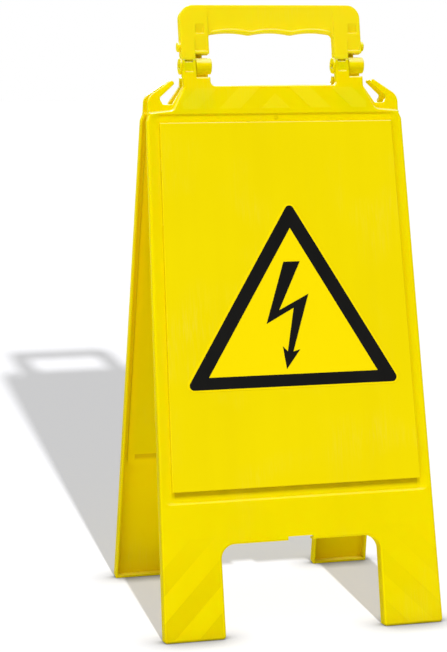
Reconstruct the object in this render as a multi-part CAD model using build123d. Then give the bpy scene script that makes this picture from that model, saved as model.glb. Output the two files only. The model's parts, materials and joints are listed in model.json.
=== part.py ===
from build123d import *
import os
from math import atan, cos, degrees, radians, sin, sqrt

# A folding floor sign: two moulded panels, hinged below a carry handle, stand as an A-frame.
# Millimetres and degrees. Each panel is drawn upright, with X across it, Z up its face from the
# floor edge and Y into it from the face, and is then leaned about the hinge axis.

# Stance
open_angle = 24.5            # between the two panels when the sign stands
folded_gap = 0.25            # room left behind each panel when the sign is folded

# Panel outline
foot_width = 300.0           # across the feet
shoulder_width = 277.6       # across the top of the sides
hinge_height = 594.0         # floor edge to hinge axis, up the face
neck_drop = 21.7             # hinge axis down to the bridge between the necks
shoulder_band = 29.6         # bridge down to the top of the recess
shoulder_step = 2.2          # the side steps in this far below the chain hooks
step_height = 6.0            # height of that step
step_drop = 1.0              # top of the recess down to the top of that step
bridge_round = 5.0           # fillet where a neck meets the bridge
foot_round = 4.0             # corners of the feet

# Panel section
skin = 2.5                   # thickness of the face
side_wall = 2.5              # thickness of the turned-in edge
hinge_depth = 7.5            # face to hinge axis
foot_depth = 13.0            # depth of the panel at the floor
edge_round = 2.2             # rounding along the front edges

# Legs
arch_height = 96.0
arch_half_width = 85.3
arch_round = 15.0
notch_width = 27.0           # small notch in the middle of the arch
notch_height = 4.0

# Recess and sign plate
rail_height = 43.6           # arch up to the recess
side_border = 3.4            # panel edge to recess
recess_depth = 1.6
recess_slope = 1.6           # its top and bottom slope in this far
recess_side_slope = 8.0      # and its sides this far
recess_round = 7.6
plate_side_gap = 9.6
plate_top_gap = 9.7
plate_bottom_gap = 12.6
plate_thickness = 3.6
plate_round = 0.8            # along the front edges
tape_thickness = 0.5
tape_width = 20.0
tape_end_gap = 22.0          # tape end to plate edge
tape_edge_gap = 30.0         # tape to the plate's top or bottom edge
gate_radius = 1.3            # moulding mark above the plate
gate_height = 0.5

# Warning triangle
triangle_width = 231.8       # between the sharp corners of the black border
triangle_height = 193.6
triangle_base = 103.0        # above the bottom edge of the plate
figure_offset = 1.8          # the middle of the base sits this far right of the plate's middle
figure_slant = 5.5           # the top of the triangle leans this far to the right
side_border_width = 14.5     # black border along the two sides
base_border_width = 12.5     # and along the base
border_round = 5.0
film_margin = 2.0            # yellow film outside the black border
film_thickness = 0.25
figure_thickness = 0.2

# Necks and hinges
neck_spacing = 167.0         # between the middles of the two necks
neck_width = 29.8
barrel_radius = 8.6
barrel_length = 16.5         # each half of a hinge
barrel_gap = 0.6             # between the two halves
barrel_round = 0.6
sill_gap = 3.9               # neck sill to barrel
pin_radius = 3.0
pin_clearance = 0.05         # running fit in the rear barrel
pin_inset = 2.0              # pin end inside the barrel's end

# Chain hooks
hook_front = 2.6             # set back from the face
hook_thickness = 4.6
hook_edge_round = 0.8        # along the front edges
hook_corner_rise = 18.3      # recess top to the hook's outer corner
hook_slope = 0.68            # rise of the finger for each millimetre inward
hook_round = 13.0
finger_reach = 26.6          # hook's side in to the crest of the finger
finger_end = 3.6             # the blunt end runs this far in and down from the crest
finger_round = 2.4
slot_floor_rise = 10.7       # recess top to the bottom of the chain slot
slot_start = 12.2            # neck out to the bottom of the chain slot
slot_width = 9.9             # at the bottom of the chain slot
slot_cheek = 3.7             # the slot widens this far under the finger
slot_cheek_rise = 6.4
slot_round = 3.0
ledge_side_rise = 1.8        # set-back ledge under the hook, at the side
ledge_neck_rise = 4.4        # the same ledge near the neck
ledge_start = 12.1           # neck out to the bend of the ledge
ledge_round = 6.0

# Carry handle
handle_rise = 63.6           # hinge axis to the top of the handle
handle_depth = 12.0
handle_round = 14.0
handle_edge_round = 0.7
bar_height = 28.2            # top of the handle to the tops of the finger scallops
scallop_count = 3
scallop_depth = 2.6
scallop_blend = 12.0         # rounding of the ridges between the scallops
grip_recess = 1.0            # the sunk grip, at its lower rim
grip_top_recess = 0.15       # and at its top
grip_rim = 2.4
grip_top_rim = 4.0
handle_wall = 3.0
grip_rib = 2.0
grip_rib_count = 5
post_gap = 3.6               # handle post to the rear barrel
post_blend = 5.0             # fillet where a post meets the grip
seat_rise = 5.6              # hinge axis up to the handle's seat on the front columns
saddle_clearance = 0.3
tongue_width = 8.0
tongue_radius = 5.0
tongue_inset = 3.2           # from the inner end of the front barrel
tongue_clearance = 0.2
column_wall = 2.0            # column in front of the tongue
seam_slot = 2.1              # open slot under the handle, in front of the tongue
window_drop = 7.0            # shallow field below that slot, down from the hinge axis
window_depth = 0.5
pocket_width = 9.0
pocket_height = 10.4
pocket_depth = 2.6           # at its bottom
pocket_drop = 19.6           # top of the handle down to the pocket
pocket_start = 1.4           # middle of the post to the pocket
sunk_height = 16.2           # shallow sunk field below the pocket
sunk_drop = 32.6             # top of the handle down to the sunk field
sunk_depth = 1.0             # at its bottom
sunk_margin = 2.0
lug_radius = 5.2
lug_length = 3.6
lug_rise = 20.0              # hinge axis to the side lugs
lug_round = 1.2

# Opening stops on the rear barrels
stop_width = 9.2
stop_thickness = 4.0
stop_rise = 18.0
stop_clearance = 0.1

# Moulded hazard stripes
stripe_depth = 0.15
leg_stripe_pitch = 53.5      # along the leg's 45 degree count, v + |u|
leg_stripe_start = 89.0
leg_stripe_count = 3
leg_stripe_top = 104.0
leg_stripe_edge = 3.0
band_stripe_pitch = 45.5
band_stripe_start = 563.5
band_stripe_count = 2
band_stripe_edge = 2.5
band_stripe_spread = 4.0     # the bands end this far past the necks at the bottom
band_stripe_tuck = 4.0       # and this far short of their outer sides at the top

# Working lengths
overshoot = 1.0              # a cut starts this far outside what it cuts
overlap = 2.0                # a joined form starts this far inside its base

# Derived levels up the face
half_angle = open_angle / 2
sill = hinge_height - barrel_radius - sill_gap
bridge = hinge_height - neck_drop
recess_top = bridge - shoulder_band
recess_bottom = arch_height + rail_height
plate_top = recess_top - plate_top_gap
plate_bottom = recess_bottom + plate_bottom_gap
plate_face = recess_depth - tape_thickness - plate_thickness
film_face = plate_face - film_thickness
handle_top = hinge_height + handle_rise
seat = hinge_height + seat_rise
axis_height = hinge_height * cos(radians(half_angle)) - hinge_depth * sin(radians(half_angle))
neck_centres = (-neck_spacing / 2, neck_spacing / 2)
neck_inner = neck_spacing / 2 - neck_width / 2
neck_outer = neck_spacing / 2 + neck_width / 2
grip_height = bar_height - grip_top_rim - grip_rim
grip_tilt = degrees(atan((grip_recess - grip_top_recess) / grip_height))
reach = foot_width + hinge_height


def half_width(height):
    """Half the panel's width at a height up its face."""
    taper = (foot_width - shoulder_width) / 2 / recess_top
    return foot_width / 2 - taper * height


def slab(sketch, front, back):
    """A front-view sketch, given depth from front to back behind the face."""
    return Pos(0, front, 0) * extrude(Plane.XZ * sketch, amount=back - front, dir=(0, 1, 0))


def polygon(points, radii=0.0):
    """A closed outline with one radius for each corner, or one for all."""
    if not isinstance(radii, (list, tuple)):
        radii = [radii] * len(points)
    return make_face(FilletPolyline(*points, radius=radii, close=True))


def mirrored(half_points, half_radii):
    """A closed outline from its right half, listed from the bottom up."""
    left_points = [(-x, z) for x, z in reversed(half_points)]
    return polygon(half_points + left_points, half_radii + half_radii[::-1])


def block(x0, x1, y0, y1, z0, z1):
    """A box between two corners."""
    return Pos((x0 + x1) / 2, (y0 + y1) / 2, (z0 + z1) / 2) * Box(x1 - x0, y1 - y0, z1 - z0)


def rod(radius, x0, x1, y=hinge_depth, z=hinge_height):
    """A round bar along X, on the hinge axis unless it is placed elsewhere."""
    return Pos((x0 + x1) / 2, y, z) * Rot(0, 90, 0) * Cylinder(radius, x1 - x0)


def stand_front(shape):
    """Lean an upright front piece about the hinge axis into its place."""
    return Pos(0, 0, axis_height) * Rot(-half_angle, 0, 0) * Pos(0, -hinge_depth, -hinge_height) * shape


def stand_rear(shape):
    """The same place on the rear panel, which is the front one turned half round."""
    return Rot(0, 0, 180) * stand_front(shape)


def front_barrel(centre):
    """The left half of a hinge, seen from the panel's own front: its two ends along X."""
    inner_end = centre - barrel_gap / 2
    return inner_end - barrel_length, inner_end


def tray_outline(inset, corner):
    """The panel's face outline, or the hollow behind it when inset by the wall."""
    step_top = recess_top - step_drop
    hook_half = half_width(step_top) - shoulder_step
    half = [
        (arch_half_width + inset, arch_height + inset),
        (arch_half_width + inset, 0),
        (half_width(0) - inset, 0),
        (half_width(step_top - step_height) - inset, step_top - step_height),
        (hook_half - inset, step_top),
        (hook_half - inset, recess_top + ledge_side_rise - inset),
        (neck_outer + ledge_start - inset, recess_top + ledge_neck_rise - inset),
        (neck_outer - inset, bridge - overlap - inset),
        (neck_outer - inset, sill - inset),
        (neck_inner + inset, sill - inset),
        (neck_inner + inset, bridge - inset),
    ]
    radii = [arch_round, corner, corner, 0.0, 0.0, 0.0, ledge_round, 0.0, 0.0, 0.0, bridge_round]
    return mirrored(half, radii)


def recess_outline(grow, side_grow):
    """The recess at the face, whose sides run along the panel's sides, or the same outline grown."""
    low = recess_bottom - grow
    high = recess_top + grow
    half = [
        (half_width(low) - side_border + side_grow, low),
        (half_width(high) - side_border + side_grow, high),
    ]
    return mirrored(half, [recess_round + grow] * 2)


def recess_space():
    """The space in front of the recess, with sloped sides that open out past the face."""
    flare = overshoot / recess_depth
    mouth_outline = recess_outline(flare * recess_slope, flare * recess_side_slope)
    floor_outline = recess_outline(-recess_slope, -recess_side_slope)
    mouth = Pos(0, -overshoot, 0) * (Plane.XZ * mouth_outline)
    floor = Pos(0, recess_depth, 0) * (Plane.XZ * floor_outline)
    return loft([mouth, floor], ruled=True)


def stripe_bands(start, pitch, count):
    """Mirrored 45 degree bands, half a pitch wide, counted by height plus distance from the middle."""
    bands = Sketch()
    for index in range(count):
        low = start + index * pitch
        high = low + pitch / 2
        half = [(0, low), (low, 0), (high, 0), (0, high)]
        right = polygon(half)
        bands += [right, mirror(right, about=Plane.YZ)]
    return bands


def leg_stripes():
    """Bands on both legs."""
    zone = [
        (arch_half_width + leg_stripe_edge, leg_stripe_edge),
        (half_width(0) - leg_stripe_edge, leg_stripe_edge),
        (half_width(leg_stripe_top) - leg_stripe_edge, leg_stripe_top),
        (arch_half_width + leg_stripe_edge, leg_stripe_top),
    ]
    right = polygon(zone)
    zones = right + mirror(right, about=Plane.YZ)
    return zones & stripe_bands(leg_stripe_start, leg_stripe_pitch, leg_stripe_count)


def band_stripes():
    """Bands across the shoulder, between the necks' outer edges."""
    low = recess_top + 2 * band_stripe_edge
    high = bridge - band_stripe_edge
    half = [(neck_outer + band_stripe_spread, low), (neck_outer - band_stripe_tuck, high)]
    zone = mirrored(half, [0.0, 0.0])
    return zone & stripe_bands(band_stripe_start, band_stripe_pitch, band_stripe_count)


def chain_hook():
    """The right-hand hook, a set-back finger that points up and in, with a slot for a chain."""
    side = half_width(recess_top) - shoulder_step
    corner_height = recess_top + hook_corner_rise
    crest = side - finger_reach
    crest_height = corner_height + hook_slope * finger_reach
    slot_floor = recess_top + slot_floor_rise
    slot_inner = neck_outer + slot_start
    slot_outer = slot_inner + slot_width
    points = [
        (neck_inner, recess_top - skin),
        (side, recess_top - skin),
        (side, corner_height),
        (crest, crest_height),
        (crest - finger_end, crest_height - finger_end),
        (slot_outer + slot_cheek, slot_floor + slot_cheek_rise),
        (slot_outer, slot_floor),
        (slot_inner, slot_floor),
        (neck_outer, bridge),
        (neck_inner, bridge),
    ]
    radii = [0.0, 0.0, hook_round, finger_round, finger_round, slot_round, slot_round, 0.0, 0.0, 0.0]
    hook = slab(polygon(points, radii), hook_front, hook_front + hook_thickness)
    return fillet(hook.edges().group_by(Axis.Y)[0], hook_edge_round)


def panel_shell():
    """One moulded panel, upright, without its hinge halves."""
    body = slab(tray_outline(0.0, foot_round), 0.0, foot_depth)
    front_edges = body.edges().group_by(Axis.Y)[0]
    body = fillet(front_edges, edge_round)
    hollow = slab(tray_outline(side_wall, 0.0), skin, foot_depth + overshoot)
    hollow &= block(-reach, reach, 0, reach, -reach, bridge - 2 * side_wall)
    foot_floor = side_wall / cos(radians(half_angle))
    sole = block(-reach, reach, -reach, reach, -reach, foot_floor)
    hollow -= Rot(half_angle, 0, 0) * sole
    body -= hollow
    backing = recess_outline(skin - recess_slope, -recess_side_slope / 2)
    body += slab(backing, skin / 2, recess_depth + skin)
    body -= recess_space()
    notch = polygon([
        (-notch_width / 2, arch_height - overshoot),
        (notch_width / 2, arch_height - overshoot),
        (notch_width / 2, arch_height + notch_height),
        (-notch_width / 2, arch_height + notch_height),
    ])
    body -= slab(notch, -overshoot, foot_depth + overshoot)
    hook = chain_hook()
    body += [hook, mirror(hook, about=Plane.YZ)]
    body -= slab(leg_stripes() + band_stripes(), -overshoot, stripe_depth)
    gate_place = Pos(0, recess_depth, (plate_top + recess_top) / 2)
    body += gate_place * Rot(90, 0, 0) * Cylinder(gate_radius, 2 * gate_height)
    return body


def behind_parting():
    """The space behind the plane where the two folded panels meet."""
    fold = (foot_depth - hinge_depth) / hinge_height
    rise = handle_rise
    points = [
        (foot_depth - folded_gap + fold * reach, -reach),
        (hinge_depth - folded_gap - fold * rise, hinge_height + rise),
        (reach, hinge_height + rise),
        (reach, -reach),
    ]
    side_view = Plane.YZ * polygon(points)
    return Pos(-reach, 0, 0) * extrude(side_view, amount=2 * reach, dir=(1, 0, 0))


def panel(column_top, bore_radius):
    """One moulded panel with its two hinge halves, upright."""
    body = panel_shell()
    for centre in neck_centres:
        end, inner_end = front_barrel(centre)
        column_side = centre - neck_width / 2
        body += block(column_side, inner_end, 0, hinge_depth, bridge, column_top)
    body -= behind_parting()
    for centre in neck_centres:
        end, inner_end = front_barrel(centre)
        column_side = centre - neck_width / 2
        barrel = rod(barrel_radius, end, inner_end)
        barrel = fillet(barrel.edges().filter_by(GeomType.CIRCLE), barrel_round)
        barrel -= block(column_side, inner_end, -reach, 0, sill, handle_top)
        body += barrel
        body -= rod(bore_radius, end - overshoot, inner_end + overshoot)
    return body


def trim_to_floor(shape):
    """Cut the feet flat where they stand."""
    return shape - block(-reach, reach, -reach, reach, -reach, 0)


def tongue_span(centre):
    """The two sides along X of the handle's tongue."""
    _, inner_end = front_barrel(centre)
    return inner_end - tongue_inset - tongue_width, inner_end - tongue_inset


def front_panel():
    """The panel that carries the handle: its columns are slotted for the handle's tongues."""
    body = panel(seat, pin_radius)
    for centre in neck_centres:
        low, high = tongue_span(centre)
        low -= tongue_clearance
        high += tongue_clearance
        root = hinge_height - tongue_radius - tongue_clearance
        body -= block(low, high, column_wall, reach, root, handle_top)
        body -= block(low, high, -overshoot, column_wall, seat - seam_slot, handle_top)
        body -= block(low, high, -overshoot, window_depth, hinge_height - window_drop, handle_top)
    return trim_to_floor(stand_front(body))


def rear_panel():
    """The same panel with running bores, and with tabs that stop against the handle's back."""
    body = stand_rear(panel(hinge_height, pin_radius + pin_clearance))
    back = handle_depth + stop_clearance
    for centre in neck_centres:
        start = centre + barrel_gap / 2
        tab = block(start, start + stop_width, back, back + stop_thickness,
                    hinge_height, hinge_height + stop_rise)
        body += stand_front(tab)
    return trim_to_floor(body)


def scallops(raise_by):
    """The hand opening of the handle, with a scalloped top edge."""
    half = neck_inner - raise_by
    top = handle_top - bar_height - scallop_depth + raise_by
    width = 2 * half / scallop_count
    line = [(-half, top), (-half, sill), (half, sill), (half, top)]
    edges = [Line(start, end) for start, end in zip(line, line[1:])]
    for index in range(scallop_count):
        right = half - width * index
        middle = (right - width / 2, top + scallop_depth)
        edges.append(ThreePointArc((right, top), middle, (right - width, top)))
    opening = make_face(edges)
    ridges = opening.vertices().filter_by_position(Axis.Y, top - overshoot, top + overshoot)
    inner_ridges = ridges.filter_by_position(Axis.X, overshoot - half, half - overshoot)
    opening = fillet(inner_ridges, scallop_blend)
    corners = opening.vertices().filter_by_position(Axis.Y, top - overshoot, top + overshoot)
    ends = [corners.sort_by(Axis.X)[0], corners.sort_by(Axis.X)[-1]]
    return fillet(ends, post_blend)


def tapered_pocket(x0, x1, top, height, depth):
    """The space of a pocket in an upright face, flush at its top and deepest at its bottom."""
    bottom = top - height
    side_view = Plane.YZ * polygon([(-overshoot, bottom), (depth, bottom), (0, top), (-overshoot, top)])
    return Pos(x0, 0, 0) * extrude(side_view, amount=x1 - x0, dir=(1, 0, 0))


def carry_handle():
    """The handle: a U with a cored grip, seated on the front columns and held by the pins."""
    bottom = hinge_height + barrel_radius + post_gap
    outline = polygon(
        [(-neck_outer, bottom), (neck_outer, bottom), (neck_outer, handle_top), (-neck_outer, handle_top)],
        [0.0, 0.0, handle_round, handle_round],
    )
    body = slab(outline - scallops(0.0), 0.0, handle_depth)
    long_edges = body.edges().group_by(Axis.Y)
    body = fillet(long_edges[0] + long_edges[-1], handle_edge_round)

    grip = polygon([
        (-neck_inner, sill), (neck_inner, sill),
        (neck_inner, handle_top - grip_top_rim), (-neck_inner, handle_top - grip_top_rim),
    ])
    field = slab(grip - scallops(grip_rim), -grip_height, grip_top_recess)
    field_place = Pos(0, 0, handle_top - grip_top_rim)
    body -= field_place * Rot(grip_tilt, 0, 0) * field_place.inverse() * field

    core_half = neck_inner - handle_wall
    core_low = handle_top - bar_height + handle_wall
    core_high = handle_top - handle_wall - grip_top_rim
    core = block(-core_half, core_half, grip_recess + handle_wall, handle_depth + overshoot,
                 core_low, core_high)
    rib_pitch = 2 * core_half / (grip_rib_count + 1)
    for index in range(grip_rib_count):
        middle = -core_half + rib_pitch * (index + 1)
        core -= block(middle - grip_rib / 2, middle + grip_rib / 2, 0, reach, core_low, core_high)
    body -= core

    for centre in neck_centres:
        end, inner_end = front_barrel(centre)
        foot = block(centre - neck_width / 2, inner_end, 0, handle_depth, seat, bottom + overlap)
        foot -= rod(barrel_radius + saddle_clearance, end - overshoot, inner_end + overshoot)
        body += foot
        low, high = tongue_span(centre)
        tongue = block(low, high, hinge_depth - tongue_radius, hinge_depth + tongue_radius / 2,
                       hinge_height, bottom + overlap)
        tongue += rod(tongue_radius, low, high)
        tongue -= rod(pin_radius + pin_clearance, low - overshoot, high + overshoot)
        body += tongue
        pocket_left = centre + pocket_start
        pocket_right = pocket_left + pocket_width
        pocket_top = handle_top - pocket_drop
        body -= tapered_pocket(pocket_left, pocket_right, pocket_top, pocket_height, pocket_depth)
        sunk_right = centre + neck_width / 2 - sunk_margin
        sunk_top = handle_top - sunk_drop
        body -= tapered_pocket(centre, sunk_right, sunk_top, sunk_height, sunk_depth)

    lug_height = hinge_height + lug_rise
    lug = rod(lug_radius, neck_outer - overlap, neck_outer + lug_length, handle_depth / 2, lug_height)
    lug = fillet(lug.edges().sort_by(Axis.X)[-1], lug_round)
    body += [lug, mirror(lug, about=Plane.YZ)]
    return stand_front(body)


def hinge_pin(centre):
    """A pin through both halves of one hinge and the handle's tongue."""
    end = barrel_gap / 2 + barrel_length - pin_inset
    return stand_front(rod(pin_radius, centre - end, centre + end))


def sign_plate():
    """The flat plate in the recess."""
    inset = side_border + plate_side_gap
    half = [
        (half_width(plate_bottom) - inset, plate_bottom),
        (half_width(plate_top) - inset, plate_top),
    ]
    plate = slab(mirrored(half, [0.0, 0.0]), plate_face, plate_face + plate_thickness)
    return fillet(plate.edges().group_by(Axis.Y)[0], plate_round)


def plate_tape():
    """Two strips of foam tape behind the plate."""
    strips = []
    for low in (plate_bottom + tape_edge_gap, plate_top - tape_edge_gap - tape_width):
        half = half_width(plate_top) - side_border - plate_side_gap - tape_end_gap
        strips.append(block(-half, half, recess_depth - tape_thickness, recess_depth, low, low + tape_width))
    return Compound(children=strips)


def on_plate(points):
    """Points above the middle of the triangle's base, moved to their places on the plate."""
    base = plate_bottom + triangle_base
    lean = figure_slant / triangle_height
    return [(figure_offset + x + lean * z, base + z) for x, z in points]


def triangle(side_grow, base_grow, round_corner):
    """The warning triangle, with its two sides and its base moved out by these amounts."""
    half = triangle_width / 2
    side_length = sqrt(triangle_height ** 2 + half ** 2)
    spread = half + (side_grow * side_length + base_grow * half) / triangle_height
    rise = side_grow * side_length / half
    corners = [(-spread, -base_grow), (spread, -base_grow), (0, triangle_height + rise)]
    return polygon(on_plate(corners), round_corner)


def bolt_arrow():
    """The electric hazard arrow, as shares of the triangle's height from the middle of its base."""
    shares = [
        (-0.042, 0.671), (0.050, 0.671), (-0.074, 0.410), (0.093, 0.494), (-0.001, 0.185), (0.038, 0.196),
        (-0.040, 0.092), (-0.059, 0.216), (-0.032, 0.187), (0.008, 0.421), (-0.146, 0.339),
    ]
    return polygon(on_plate([(x * triangle_height, z * triangle_height) for x, z in shares]))


def sign_film():
    """The yellow film."""
    return slab(triangle(film_margin, film_margin, border_round + film_margin), film_face, plate_face)


def sign_figure():
    """The black border and arrow on the film."""
    front = film_face - figure_thickness
    field = triangle(-side_border_width, -base_border_width, 0.0)
    border = slab(triangle(0.0, 0.0, border_round) - field, front, film_face)
    arrow = slab(bolt_arrow(), front, film_face)
    return Compound(children=[border, arrow])


pieces = {
    "front_panel": front_panel(),
    "rear_panel": rear_panel(),
    "carry_handle": carry_handle(),
    "hinge_pin_left": hinge_pin(neck_centres[0]),
    "hinge_pin_right": hinge_pin(neck_centres[1]),
}
for side, stand in (("front", stand_front), ("rear", stand_rear)):
    pieces[side + "_sign_plate"] = stand(sign_plate())
    pieces[side + "_plate_tape"] = stand(plate_tape())
    pieces[side + "_sign_film"] = stand(sign_film())
    pieces[side + "_sign_figure"] = stand(sign_figure())

os.makedirs("parts", exist_ok=True)
for name, shape in pieces.items():
    export_step(shape, "parts/" + name + ".step")
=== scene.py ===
import json
import math

import bpy
from mathutils import Euler, Matrix, Vector

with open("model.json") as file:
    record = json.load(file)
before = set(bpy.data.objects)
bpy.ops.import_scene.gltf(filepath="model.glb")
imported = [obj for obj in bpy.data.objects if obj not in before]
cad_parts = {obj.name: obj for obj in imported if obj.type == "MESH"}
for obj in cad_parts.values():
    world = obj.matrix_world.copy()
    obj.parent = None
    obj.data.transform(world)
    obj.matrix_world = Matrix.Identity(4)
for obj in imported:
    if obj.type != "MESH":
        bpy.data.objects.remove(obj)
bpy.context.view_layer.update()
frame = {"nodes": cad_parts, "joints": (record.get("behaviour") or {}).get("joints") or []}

# A folding warning sign on a white studio floor. Metres, except where a name or comment says otherwise.

nodes = frame["nodes"]
scene = bpy.context.scene

# Camera, with its lens and sensor in millimetres
camera_left_degrees = 14.52
camera_up_degrees = 8.28
camera_roll_degrees = -0.18
camera_distance = 2.0304
camera_target = Vector((-0.0532, 0.0, 0.3036))
camera_lens = 152.91
camera_sensor = 36.0
level_degrees = 90.0         # a camera or lamp tilted by this much looks level

# Panels: each face leans back about the hinge axis
lean_degrees = 12.25
hinge_axis_height = frame["joints"][0]["pos_m"][2]
hinge_height = 0.594         # up the face
hinge_depth = 0.0075

# Moulded bands at 45 degrees, counted by height up the face plus distance from the middle
band_width_share = 0.5       # of the pitch
band_face_depth = 0.001
band_margin = 0.0012
band_roughness = 0.12
leg_band_start = 0.089
leg_band_pitch = 0.0535
leg_band_bottom = 0.003
leg_band_fade = 0.045
leg_band_top = 0.104
leg_band_inner = 0.0883
leg_band_share = 0.55        # how dark a band is below its fade, and then at its top
leg_band_top_share = 0.05
# The left leg's bands are painted darker than the right leg's: painted shade for how the light falls on each
# leg
leg_side = 0.10              # from here on a leg is fully left or right
right_leg_share = 0.35
shoulder_band_start = 0.5635
shoulder_band_pitch = 0.0455
shoulder_band_bottom = 0.5477
shoulder_band_top = 0.5698
shoulder_band_half = 0.100

# Moulding mark above the plate, with dirt round it
mark_height = 0.5379
mark_depth = 0.003
mark_core = 0.0014
mark_edge = 0.0032
mark_share = 0.65

# Inside of the panels: painted shade near the floor, and painted warm bounced light above it
inside_shade_height = 0.08
inside_glow_height = 0.17
inward_range = (0.5, 0.9)

# Painted shade: on the feet, on the sides near the floor and in the recess below the plate, in patches
foot_shade_height = 0.0036
foot_shade_fade_height = 0.014
foot_shade_fade_share = 0.12
side_shade_full = 0.20
side_shade_end = 0.34
side_shade_share = 0.45
sideways_range = (0.45, 0.85)
plate_bottom = 0.1522
plate_bottom_half = 0.1313
groove_shade_height = 0.0078
groove_shade_core = 0.0040
groove_shade_share = 0.42
shade_patch_scale = 45.0      # this and every other scale is in features for each metre
shade_patch_range = (0.35, 0.60)
shade_patch_least = 0.75

# Noise: its middle value and its layers of detail
noise_middle = 0.5
plain_detail = 1.0
usual_detail = 2.0
fine_detail = 3.0
finest_detail = 4.0

# Mould grain: clouds of tone, with flow lines up the face
cloud_scale = 7.0
cloud_share = 0.65
flow_scale = (38.0, 38.0, 3.0)
tone_range = (0.35, 0.65)

# Scuffs: each set has its lean in degrees and its scale across
scuff_sets = ((4.0, 260.0), (-14.0, 330.0), (57.0, 300.0))
scuff_scale_deep = 40.0
scuff_scale_along = 9.0
scuff_line_half = 0.022
scuff_patch_scale = 13.0
scuff_patch_range = (0.52, 0.72)

# Worn edges: a match of 1 is a flat face, and the drop is how far an edge turns down
edge_samples = 6
worn_match = (0.995, 0.80)
rounded_match = (0.992, 0.95)
crisp_drop = (-0.30, -0.10)
rub_scale = 90.0
rub_range = (0.30, 0.75)

# Painted rim highlight: faces that look up are painted paler, more towards the top of a panel
upward_range = (0.35, 0.65)
rim_highlight_heights = (0.15, 0.50)
rim_highlight_least = 0.2
rim_highlight_patch_scale = 22.0
rim_highlight_patch_range = (0.40, 0.62)
rim_highlight_patch_least = 0.45
rim_highlight_share = 0.65

# Finishes: the fineness is a scale, the edge is how wide it wears, and the relief is a share of its height
relief_height = 0.0004
coat_roughness = 0.15
coat_index = 1.8
translucent_radius = (1.0, 0.7, 0.05)
translucent_depth = 0.006
moulding = {
    "specular": 0.002,
    "translucence": 0.5,
    "fineness": 1300.0,
    "edge": 0.0016,
    "edge_share": 0.10,
    "scuffs": 0.35,
    "scuff_share": 0.25,
    "scuff_roughness": 0.12,
    "roughness": (0.30, 0.38),
    "relief": 0.10,
}
plate = {
    "specular": 0.03,
    "translucence": 0.0,
    "fineness": 420.0,
    "edge": 0.0009,
    "edge_share": 0.20,
    "scuffs": 0.4,
    "scuff_share": 0.30,
    "scuff_roughness": 0.2,
    "roughness": (0.24, 0.30),
    "relief": 0.04,
}
film = {
    "specular": 0.03,
    "fineness": 500.0,
    "black_fineness": 900.0,
    "edge": 0.0005,
    "scuffs": 0.7,
    "scuff_share": 0.35,
    "rub_share": 0.4,
    "roughness": (0.34, 0.44),
    "relief": 0.03,
}
pin = {
    "specular": 0.5,
    "line_scale": (60.0, 2400.0, 2400.0),
    "edge": 0.0005,
    "tone_range": (0.35, 0.65),
    "rough_range": (0.3, 0.7),
    "roughness": (0.28, 0.45),
    "relief": 0.08,
}
tape = {
    "specular": 0.2,
    "cell_scale": 1400.0,
    "cloud_scale": 60.0,
    "edge": 0.0003,
    "roughness": (0.95, 0.80),
    "relief": 0.35,
}

# Colours, linear
yellow = (0.920, 0.742, 0.0006, 1.0)
deep_yellow = (0.885, 0.705, 0.0004, 1.0)
band_yellow = (0.735, 0.585, 0.0004, 1.0)
inside_painted_shade = (0.850, 0.690, 0.0006, 1.0)
inside_painted_glow = (0.990, 0.752, 0.0006, 1.0)
# Pale tone of the handle's grain, and the painted sheen of the shoulder bands
pale_yellow_and_sheen = (0.925, 0.752, 0.0070, 1.0)
handle_yellow = (0.928, 0.750, 0.0095, 1.0)
worn_yellow = (0.930, 0.780, 0.160, 1.0)
rim_highlight_colour = (0.950, 0.860, 0.420, 1.0)
painted_shade_colour = (0.30, 0.25, 0.006, 1.0)
film_yellow = (1.000, 0.785, 0.0006, 1.0)
film_shade = (0.985, 0.765, 0.0004, 1.0)
black = (0.0060, 0.0060, 0.0055, 1.0)
worn_black = (0.0100, 0.0098, 0.0088, 1.0)
steel = (0.42, 0.42, 0.43, 1.0)
steel_dark = (0.20, 0.20, 0.21, 1.0)
foam = (0.70, 0.69, 0.64, 1.0)
foam_shade = (0.56, 0.55, 0.50, 1.0)
floor_white = (0.45, 0.45, 0.47, 1.0)
floor_shade = (0.05, 0.05, 0.05, 1.0)
white = (1.0, 1.0, 1.0, 1.0)

# Light: each lamp has its strength, then degrees up from the floor, to the right and of softness
sky_strength = 0.30
sign_lamps = {
    "overhead": (2.26, 67.0, 0.0, 20.0),
    "left": (1.15, 5.0, -70.0, 80.0),
    "back": (1.60, 25.0, 180.0, 30.0),
    "below": (0.65, -85.0, 0.0, 20.0),
}
floor_lamps = {"floor_lamp": (8.90, 20.0, -2.0, 1.2)}

# Floor: the glow is what is seen of it, the bounce is what it lends to the sign
floor_size = 40.0
floor_drop = 0.0002
floor_roughness = 0.9
floor_glow = 0.465
floor_bounce = 0.12
# Painted contact shadow near a foot: how far it reaches, how steeply it falls off and its samples
contact_reach = 0.035
contact_contrast = 1.8
contact_samples = 16


def add_node(tree, kind, inputs=None, **settings):
    """A shader node with its settings. An input is a plain value or the socket that feeds it."""
    node = tree.nodes.new("ShaderNode" + kind)
    for name, value in settings.items():
        setattr(node, name, value)
    for name, value in (inputs or {}).items():
        if isinstance(value, bpy.types.NodeSocket):
            tree.links.new(value, node.inputs[name])
        else:
            node.inputs[name].default_value = value
    return node


def calculate(tree, operation, first, second=0.0):
    """One sum on two values or sockets."""
    return add_node(tree, "Math", {0: first, 1: second}, operation=operation).outputs[0]


def multiply(tree, first, *others):
    """The product of some values or sockets."""
    for other in others:
        first = calculate(tree, "MULTIPLY", first, other)
    return first


def remainder(tree, share):
    """What a share leaves of 1."""
    return calculate(tree, "SUBTRACT", 1.0, share)


def rescale(tree, value, low, high, new_low=0.0, new_high=1.0):
    """A value moved from one range to another and held inside it."""
    inputs = {0: value, 1: low, 2: high, 3: new_low, 4: new_high}
    return add_node(tree, "MapRange", inputs).outputs[0]


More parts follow.
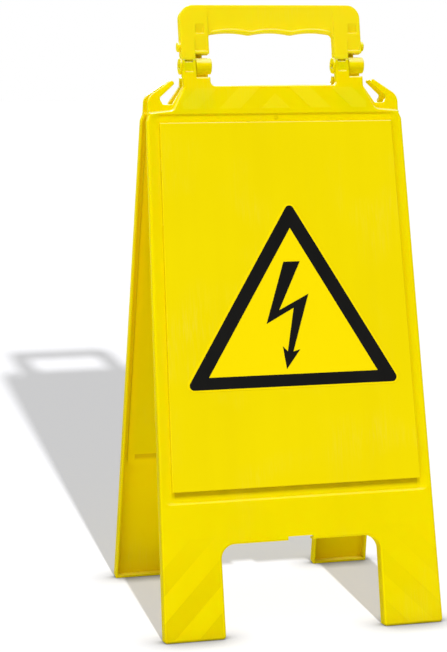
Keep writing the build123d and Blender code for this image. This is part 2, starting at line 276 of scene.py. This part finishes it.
def mix_colours(tree, share, first, second):
    """Two colours mixed by a share of the second."""
    return add_node(tree, "Mix", {0: share, 6: first, 7: second}, data_type="RGBA").outputs[2]


def noise(tree, place, scale=1.0, detail=usual_detail):
    """Smooth noise from 0 to 1."""
    inputs = {"Vector": place, "Scale": scale, "Detail": detail}
    return add_node(tree, "TexNoise", inputs).outputs[0]


def stretch(tree, place, scale, turn=(0.0, 0.0, 0.0)):
    """Coordinates turned, and scaled along each direction."""
    return add_node(tree, "Mapping", {"Vector": place, "Rotation": turn, "Scale": scale}).outputs[0]


def split(tree, vector):
    """The X, Y and Z of a place or a direction."""
    return add_node(tree, "SeparateXYZ", {0: vector}).outputs


def surface_normal(tree):
    """The direction that the surface faces."""
    return add_node(tree, "NewGeometry").outputs["Normal"]


def start_group(name, inputs, outputs):
    """An empty node group with its named inputs and outputs."""
    tree = bpy.data.node_groups.new(name, "ShaderNodeTree")
    for socket_name, kind in inputs.items():
        tree.interface.new_socket(socket_name, in_out="INPUT", socket_type="NodeSocket" + kind)
    for socket_name, kind in outputs.items():
        tree.interface.new_socket(socket_name, in_out="OUTPUT", socket_type="NodeSocket" + kind)
    entry = tree.nodes.new("NodeGroupInput")
    leave = tree.nodes.new("NodeGroupOutput")
    return tree, entry.outputs, leave.inputs


def place_group(tree, group, **inputs):
    """A node group placed in a material, with its own values."""
    return add_node(tree, "Group", inputs, node_tree=group).outputs


def make_grain():
    """Fine mould texture as a height, and slow changes of tone with faint flow lines."""
    inputs = {"Place": "Vector", "Fineness": "Float"}
    tree, given, result = start_group("mould_grain", inputs, {"Height": "Float", "Tone": "Float"})
    place = given["Place"]
    tree.links.new(noise(tree, place, given["Fineness"], fine_detail), result["Height"])
    clouds = multiply(tree, noise(tree, place, cloud_scale, fine_detail), cloud_share)
    flow = multiply(tree, noise(tree, stretch(tree, place, flow_scale)), 1.0 - cloud_share)
    tone = calculate(tree, "ADD", clouds, flow)
    tree.links.new(rescale(tree, tone, *tone_range), result["Tone"])
    return tree


def make_scuffs():
    """Thin scratches that run mostly up and down, gathered in patches."""
    inputs = {"Place": "Vector", "Amount": "Float"}
    tree, given, result = start_group("scuffs", inputs, {"Mask": "Float"})
    place = given["Place"]
    lines = 0.0
    for turn_degrees, scale_across in scuff_sets:
        turn = (0.0, math.radians(turn_degrees), 0.0)
        turned = stretch(tree, place, (scale_across, scuff_scale_deep, scuff_scale_along), turn)
        streaks = noise(tree, turned, detail=plain_detail)
        centre = calculate(tree, "ABSOLUTE", calculate(tree, "SUBTRACT", streaks, noise_middle))
        lines = calculate(tree, "MAXIMUM", lines, rescale(tree, centre, 0.0, scuff_line_half, 1.0, 0.0))
    patches = rescale(tree, noise(tree, place, scuff_patch_scale, plain_detail), *scuff_patch_range)
    tree.links.new(multiply(tree, lines, patches, given["Amount"]), result["Mask"])
    return tree


def make_edge_wear():
    """Rubbed edges: where the surface turns within the given width, broken up by noise.

    Edges are rounded off where they turn up or sideways. They stay crisp where they turn down, and where
    Crisp is 1.
    """
    inputs = {"Place": "Vector", "Width": "Float", "Crisp": "Float"}
    tree, given, result = start_group("edge_wear", inputs, {"Mask": "Float", "Normal": "Vector"})
    rounded = add_node(tree, "Bevel", {"Radius": given["Width"]}, samples=edge_samples).outputs[0]
    flat = surface_normal(tree)
    match = add_node(tree, "VectorMath", {0: rounded, 1: flat}, operation="DOT_PRODUCT").outputs["Value"]
    rubbed = rescale(tree, noise(tree, given["Place"], rub_scale, finest_detail), *rub_range)
    tree.links.new(multiply(tree, rescale(tree, match, *worn_match), rubbed), result["Mask"])
    drop = calculate(tree, "SUBTRACT", split(tree, rounded)["Z"], split(tree, flat)["Z"])
    share = rescale(tree, drop, *crisp_drop)
    share = multiply(tree, share, rescale(tree, match, *rounded_match), remainder(tree, given["Crisp"]))
    mixed = add_node(tree, "Mix", {0: share, 4: flat, 5: rounded}, data_type="VECTOR").outputs[1]
    normal = add_node(tree, "VectorMath", {0: mixed}, operation="NORMALIZE").outputs["Vector"]
    tree.links.new(normal, result["Normal"])
    return tree


def make_rim_highlight():
    """Rims and tops that face up: a glossier coat there, and a painted highlight in patches.

    Where Keep is 1 a face stays as it is.
    """
    inputs = {"Place": "Vector", "Normal": "Vector", "Keep": "Float"}
    tree, given, result = start_group("rim_highlight", inputs, {"Mask": "Float", "Shine": "Float"})
    upward = rescale(tree, split(tree, given["Normal"])["Z"], *upward_range)
    height_share = rescale(tree, split(tree, given["Place"])["Z"], *rim_highlight_heights, rim_highlight_least, 1.0)
    shine = multiply(tree, upward, remainder(tree, given["Keep"]), height_share)
    patches = noise(tree, given["Place"], rim_highlight_patch_scale, fine_detail)
    patches = rescale(tree, patches, *rim_highlight_patch_range, rim_highlight_patch_least, 1.0)
    tree.links.new(multiply(tree, shine, patches), result["Mask"])
    tree.links.new(shine, result["Shine"])
    return tree


def inside(tree, value, low, high):
    """1 where a value lies between two limits."""
    above = calculate(tree, "GREATER_THAN", value, low)
    below = calculate(tree, "LESS_THAN", value, high)
    return multiply(tree, above, below)


def every_other(tree, count, start, pitch):
    """1 on the band that begins each pitch."""
    steps = calculate(tree, "DIVIDE", calculate(tree, "SUBTRACT", count, start), pitch)
    return calculate(tree, "LESS_THAN", calculate(tree, "FRACT", steps), band_width_share)


def leg_area(tree, across, height, margin):
    """1 on the banded part of the legs, with a margin round it."""
    area = inside(tree, height, leg_band_bottom - margin, leg_band_top + margin)
    return multiply(tree, area, calculate(tree, "GREATER_THAN", across, leg_band_inner - margin))


def shoulder_area(tree, across, height, margin):
    """1 on the banded part of the shoulder, with a margin above and below it."""
    area = inside(tree, height, shoulder_band_bottom - margin, shoulder_band_top + margin)
    return multiply(tree, area, calculate(tree, "LESS_THAN", across, shoulder_band_half))


def make_bands():
    """The 45 degree bands, dark on the legs and a painted pale sheen across the shoulder, and the dark
    moulding mark.

    Zone is 1 on all of these, so that their small ledges keep crisp edges and get no painted rim highlight.
    """
    outputs = {"Dark": "Float", "PaintedSheen": "Float", "Zone": "Float"}
    tree, given, result = start_group("moulded_bands", {"Place": "Vector"}, outputs)
    parts = split(tree, given["Place"])
    height = parts["Z"]
    across = calculate(tree, "ABSOLUTE", parts["X"])
    count = calculate(tree, "ADD", across, height)
    face = calculate(tree, "LESS_THAN", parts["Y"], band_face_depth)

    legs = every_other(tree, count, leg_band_start, leg_band_pitch)
    fade = rescale(tree, height, leg_band_fade, leg_band_top, leg_band_share, leg_band_top_share)
    # Painted shade: the left leg's bands darker than the right leg's
    side = rescale(tree, parts["X"], -leg_side, leg_side, 1.0, right_leg_share)
    legs = multiply(tree, legs, leg_area(tree, across, height, 0.0), fade, side, face)

    shoulder_start = shoulder_band_start - band_width_share * shoulder_band_pitch
    shoulder = every_other(tree, count, shoulder_start, shoulder_band_pitch)
    shoulder = multiply(tree, shoulder, shoulder_area(tree, across, height, 0.0), face)

    mark_rise = calculate(tree, "SUBTRACT", height, mark_height)
    from_mark = add_node(tree, "CombineXYZ", {"X": parts["X"], "Z": mark_rise}).outputs[0]
    mark_distance = add_node(tree, "VectorMath", {0: from_mark}, operation="LENGTH").outputs["Value"]
    mark = rescale(tree, mark_distance, mark_core, mark_edge, mark_share, 0.0)
    mark = multiply(tree, mark, calculate(tree, "LESS_THAN", parts["Y"], mark_depth))

    leg_zone = leg_area(tree, across, height, band_margin)
    zone = calculate(tree, "MAXIMUM", leg_zone, shoulder_area(tree, across, height, band_margin))
    zone = multiply(tree, zone, face)
    zone = calculate(tree, "MAXIMUM", zone, calculate(tree, "GREATER_THAN", mark, 0.0))
    tree.links.new(calculate(tree, "MAXIMUM", legs, mark), result["Dark"])
    tree.links.new(shoulder, result["PaintedSheen"])
    tree.links.new(zone, result["Zone"])
    return tree


def make_painted_shade():
    """Painted shade on the feet, on the sides near the floor and in the recess below the plate, broken into
    patches.
    """
    tree, given, result = start_group("painted_shade", {"Place": "Vector"}, {"Mask": "Float"})
    parts = split(tree, given["Place"])
    height = parts["Z"]
    across = calculate(tree, "ABSOLUTE", parts["X"])

    # Painted shade on the feet, darker towards the floor
    feet = rescale(tree, height, 0.0, foot_shade_height, 1.0, 0.0)
    feet_fade = rescale(tree, height, 0.0, foot_shade_fade_height, foot_shade_fade_share, 0.0)
    feet = calculate(tree, "MAXIMUM", feet, feet_fade)

    # Painted shade on the sides, darker towards the floor
    sideways = calculate(tree, "ABSOLUTE", split(tree, surface_normal(tree))["X"])
    sides = rescale(tree, height, side_shade_full, side_shade_end, side_shade_share, 0.0)
    sides = multiply(tree, sides, rescale(tree, sideways, *sideways_range))

    # Painted shadow in the recess just below the plate's bottom edge
    groove_low = plate_bottom - groove_shade_height
    groove = rescale(tree, height, groove_low, groove_low + groove_shade_core, 0.0, groove_shade_share)
    below_plate = calculate(tree, "LESS_THAN", height, plate_bottom)
    within_plate = calculate(tree, "LESS_THAN", across, plate_bottom_half)
    behind_face = calculate(tree, "GREATER_THAN", parts["Y"], band_face_depth)
    groove = multiply(tree, groove, below_plate, within_plate, behind_face)

    patches = noise(tree, given["Place"], shade_patch_scale, fine_detail)
    patches = rescale(tree, patches, *shade_patch_range, shade_patch_least, 1.0)
    mask = calculate(tree, "MAXIMUM", calculate(tree, "MAXIMUM", feet, sides), groove)
    tree.links.new(multiply(tree, mask, patches), result["Mask"])
    return tree


def make_inside_light():
    """Where a panel faces the other one, and how far up that is, for its painted shade and warm light. Side
    is 1 for front and -1 for rear.
    """
    inputs = {"Place": "Vector", "Side": "Float"}
    tree, given, result = start_group("inside_light", inputs, {"Mask": "Float", "Rise": "Float"})
    height = split(tree, given["Place"])["Z"]
    inward = multiply(tree, split(tree, surface_normal(tree))["Y"], given["Side"])
    inward = rescale(tree, inward, *inward_range)
    below_shoulder = calculate(tree, "LESS_THAN", height, shoulder_band_bottom)
    tree.links.new(multiply(tree, inward, below_shoulder), result["Mask"])
    tree.links.new(rescale(tree, height, inside_shade_height, inside_glow_height), result["Rise"])
    return tree


grain = make_grain()
scuffs = make_scuffs()
edge_wear = make_edge_wear()
rim_highlight = make_rim_highlight()
bands = make_bands()
painted_shade = make_painted_shade()
inside_light = make_inside_light()


def start_material(name, specular):
    """A new material: its tree, its main shader and its object coordinates."""
    material = bpy.data.materials.new(name)
    material.use_nodes = True
    tree = material.node_tree
    shader = tree.nodes["Principled BSDF"]
    shader.inputs["Specular IOR Level"].default_value = specular
    shader.inputs["Coat Roughness"].default_value = coat_roughness
    shader.inputs["Coat IOR"].default_value = coat_index
    place = add_node(tree, "TexCoord").outputs["Object"]
    return material, tree, shader, place


def panel_place(tree, place, rear):
    """Object coordinates laid along a panel: across it, into it and up its face from the floor edge."""
    lean = math.radians(lean_degrees)
    turn = Matrix.Rotation(lean, 3, "X")
    shift = Vector((0.0, hinge_depth, hinge_height)) - turn @ Vector((0.0, 0.0, hinge_axis_height))
    angles = (-lean, 0.0, math.pi) if rear else (lean, 0.0, 0.0)
    return add_node(tree, "Mapping", {"Vector": place, "Location": shift, "Rotation": angles}).outputs[0]


def tint(tree, colour, mask, share, second):
    """A colour with a share of a second one where a mask shows."""
    return mix_colours(tree, multiply(tree, mask, share), colour, second)


def roughen(tree, roughness, mask, share):
    """A roughness raised by a share where a mask shows."""
    return calculate(tree, "ADD", roughness, multiply(tree, mask, share))


def finish_surface(tree, shader, colour, roughness, height, relief, normal):
    """Join colour, roughness and relief to the main shader."""
    inputs = {"Height": height, "Strength": relief, "Distance": relief_height, "Normal": normal}
    bump = add_node(tree, "Bump", inputs)
    tree.links.new(colour, shader.inputs["Base Color"])
    tree.links.new(roughness, shader.inputs["Roughness"])
    tree.links.new(bump.outputs[0], shader.inputs["Normal"])


def yellow_plastic(name, finish, rear, main_colour, second_colour, is_panel):
    """Yellow plastic with fine grain, rubbed edges, painted rim highlights and faint scuffs.

    A panel also has its bands, painted shade and warm light on its inside, and painted shade near the floor
    and below the plate.
    """
    material, tree, shader, place = start_material(name, finish["specular"])
    shader.inputs["Subsurface Weight"].default_value = finish["translucence"]
    shader.inputs["Subsurface Radius"].default_value = translucent_radius
    shader.inputs["Subsurface Scale"].default_value = translucent_depth
    place = panel_place(tree, place, rear)
    texture = place_group(tree, grain, Place=place, Fineness=finish["fineness"])
    scratch = place_group(tree, scuffs, Place=place, Amount=finish["scuffs"])["Mask"]
    band = place_group(tree, bands, Place=place) if is_panel else {"Zone": 0.0}
    worn = place_group(tree, edge_wear, Place=place, Width=finish["edge"], Crisp=band["Zone"])
    rim_light = place_group(tree, rim_highlight, Place=place, Normal=worn["Normal"], Keep=band["Zone"])
    colour = mix_colours(tree, texture["Tone"], main_colour, second_colour)
    roughness = rescale(tree, texture["Tone"], 0.0, 1.0, *finish["roughness"])
    if is_panel:
        # Painted shade near the floor and painted warm bounced light higher up, on faces that look at the
        # other panel
        within = place_group(tree, inside_light, Place=place, Side=-1.0 if rear else 1.0)
        inside_painted_colour = mix_colours(tree, within["Rise"], inside_painted_shade, inside_painted_glow)
        colour = mix_colours(tree, within["Mask"], colour, inside_painted_colour)
        colour = mix_colours(tree, band["Dark"], colour, band_yellow)
        # The shoulder's pale bands are a painted sheen
        colour = mix_colours(tree, band["PaintedSheen"], colour, pale_yellow_and_sheen)
        roughness = roughen(tree, roughness, band["Dark"], band_roughness)
    colour = tint(tree, colour, worn["Mask"], finish["edge_share"], worn_yellow)
    colour = tint(tree, colour, scratch, finish["scuff_share"], worn_yellow)
    # Painted highlight on rims and tops that face up
    colour = tint(tree, colour, rim_light["Mask"], rim_highlight_share, rim_highlight_colour)
    if is_panel:
        # Painted shade near the floor and below the plate, mixed in as a dark colour
        colour = mix_colours(tree, place_group(tree, painted_shade, Place=place)["Mask"], colour, painted_shade_colour)
    tree.links.new(rim_light["Shine"], shader.inputs["Coat Weight"])
    roughness = roughen(tree, roughness, scratch, finish["scuff_roughness"])
    height = calculate(tree, "SUBTRACT", texture["Height"], scratch)
    finish_surface(tree, shader, colour, roughness, height, finish["relief"], worn["Normal"])
    return material


def printed_film(name, rear, main_colour, second_colour, fineness):
    """Thin printed film: even colour with a trace of orange peel, rubbed along its edge."""
    material, tree, shader, place = start_material(name, film["specular"])
    place = panel_place(tree, place, rear)
    texture = place_group(tree, grain, Place=place, Fineness=fineness)
    scratch = place_group(tree, scuffs, Place=place, Amount=film["scuffs"])["Mask"]
    worn = place_group(tree, edge_wear, Place=place, Width=film["edge"])
    rubbed = calculate(tree, "MAXIMUM", multiply(tree, scratch, film["scuff_share"]), worn["Mask"])
    colour = mix_colours(tree, texture["Tone"], main_colour, second_colour)
    colour = tint(tree, colour, rubbed, film["rub_share"], second_colour)
    roughness = rescale(tree, texture["Tone"], 0.0, 1.0, *film["roughness"])
    finish_surface(tree, shader, colour, roughness, texture["Height"], film["relief"], worn["Normal"])
    return material


def drawn_steel(name):
    """Hinge pins: drawn steel with fine lines along the pin."""
    material, tree, shader, place = start_material(name, pin["specular"])
    shader.inputs["Metallic"].default_value = 1.0
    lines = noise(tree, stretch(tree, place, pin["line_scale"]), detail=fine_detail)
    worn = place_group(tree, edge_wear, Place=place, Width=pin["edge"])
    colour = mix_colours(tree, rescale(tree, lines, *pin["tone_range"]), steel, steel_dark)
    roughness = rescale(tree, lines, *pin["rough_range"], *pin["roughness"])
    finish_surface(tree, shader, colour, roughness, lines, pin["relief"], worn["Normal"])
    return material


def foam_tape(name):
    """Off-white foam tape with open cells."""
    material, tree, shader, place = start_material(name, tape["specular"])
    cells = add_node(tree, "TexVoronoi", {"Vector": place, "Scale": tape["cell_scale"]}).outputs["Distance"]
    clouds = noise(tree, place, tape["cloud_scale"], fine_detail)
    worn = place_group(tree, edge_wear, Place=place, Width=tape["edge"])
    colour = mix_colours(tree, clouds, foam, foam_shade)
    roughness = rescale(tree, cells, 0.0, 1.0, *tape["roughness"])
    finish_surface(tree, shader, colour, roughness, cells, tape["relief"], worn["Normal"])
    return material


def dress(node_name, material):
    """Give a piece its finish."""
    slots = nodes[node_name].data.materials
    slots.clear()
    slots.append(material)


def add_camera():
    """The photo's own viewpoint."""
    tilt = math.radians(level_degrees - camera_up_degrees)
    turn = Euler((tilt, 0.0, -math.radians(camera_left_degrees))).to_matrix()
    turn = turn @ Matrix.Rotation(math.radians(camera_roll_degrees), 3, "Z")
    data = bpy.data.cameras.new("camera")
    data.lens = camera_lens
    data.sensor_fit = "HORIZONTAL"
    data.sensor_width = camera_sensor
    camera = bpy.data.objects.new("camera", data)
    camera.location = camera_target + turn @ Vector((0.0, 0.0, camera_distance))
    camera.rotation_euler = turn.to_euler()
    scene.collection.objects.link(camera)
    scene.camera = camera


def add_sun(name, strength, up_degrees, right_degrees, softness_degrees):
    """Even light from one direction, counted from the front of the sign."""
    data = bpy.data.lights.new(name, "SUN")
    data.energy = strength
    data.angle = math.radians(softness_degrees)
    lamp = bpy.data.objects.new(name, data)
    lamp.rotation_euler = (math.radians(level_degrees - up_degrees), 0.0, math.radians(right_degrees))
    scene.collection.objects.link(lamp)
    return lamp


def seen_directly(tree):
    """1 for what the camera, a mirror or clear glass looks at."""
    path = add_node(tree, "LightPath").outputs
    seen = calculate(tree, "ADD", path["Is Camera Ray"], path["Is Glossy Ray"])
    return calculate(tree, "MINIMUM", calculate(tree, "ADD", seen, path["Is Transmission Ray"]), 1.0)


def add_world():
    """Plain white surroundings, softer as a light than they look."""
    world = bpy.data.worlds.new("studio")
    world.use_nodes = True
    tree = world.node_tree
    background = tree.nodes["Background"]
    background.inputs["Color"].default_value = white
    strength = rescale(tree, seen_directly(tree), 0.0, 1.0, sky_strength, 1.0)
    tree.links.new(strength, background.inputs["Strength"])
    scene.world = world


def add_floor():
    """A plain white floor that keeps the shadow, with a painted contact shadow where a foot meets it."""
    bpy.ops.object.select_all(action="DESELECT")
    bpy.ops.mesh.primitive_plane_add(size=floor_size, location=(0.0, 0.0, -floor_drop))
    floor = bpy.context.object
    floor.name = "floor"
    material = bpy.data.materials.new("floor_white")
    material.use_nodes = True
    tree = material.node_tree
    shader = tree.nodes["Principled BSDF"]
    shader.inputs["Roughness"].default_value = floor_roughness
    shader.inputs["Specular IOR Level"].default_value = 0.0
    shader.inputs["Emission Color"].default_value = white
    nearby = {"Distance": contact_reach}
    # Painted contact shadow: the floor darker and dimmer where it is closed in near a foot
    openness = add_node(tree, "AmbientOcclusion", nearby, samples=contact_samples).outputs["AO"]
    contact = calculate(tree, "POWER", openness, contact_contrast)
    tree.links.new(mix_colours(tree, contact, floor_shade, floor_white), shader.inputs["Base Color"])
    glow = rescale(tree, seen_directly(tree), 0.0, 1.0, floor_bounce, floor_glow)
    tree.links.new(multiply(tree, glow, contact), shader.inputs["Emission Strength"])
    floor.data.materials.append(material)
    return floor


for side, rear in (("front", False), ("rear", True)):
    dress(side + "_panel", yellow_plastic(side + "_moulding", moulding, rear, yellow, deep_yellow, True))
    dress(side + "_sign_plate", yellow_plastic(side + "_plate", plate, rear, yellow, deep_yellow, False))
    dress(side + "_sign_film", printed_film(side + "_film", rear, film_yellow, film_shade, film["fineness"]))
    black_film = printed_film(side + "_black", rear, black, worn_black, film["black_fineness"])
    dress(side + "_sign_figure", black_film)
    dress(side + "_plate_tape", foam_tape(side + "_foam"))
dress("carry_handle", yellow_plastic("handle_moulding", moulding, False, handle_yellow, pale_yellow_and_sheen, False))
for hand in ("left", "right"):
    dress("hinge_pin_" + hand, drawn_steel("pin_steel_" + hand))

add_camera()
add_world()
floor = add_floor()
# The lamps of the sign leave out the floor, and the floor lamp lights only the floor
for lamps, link_state in ((sign_lamps, "EXCLUDE"), (floor_lamps, "INCLUDE")):
    receivers = bpy.data.collections.new("floor_" + link_state.lower())
    receivers.objects.link(floor)
    receivers.collection_objects[0].light_linking.link_state = link_state
    for lamp_name, lamp_values in lamps.items():
        lamp = add_sun(lamp_name, *lamp_values)
        lamp.light_linking.receiver_collection = receivers
        if link_state == "EXCLUDE":
            lamp.light_linking.blocker_collection = receivers
scene.view_settings.view_transform = "Standard"
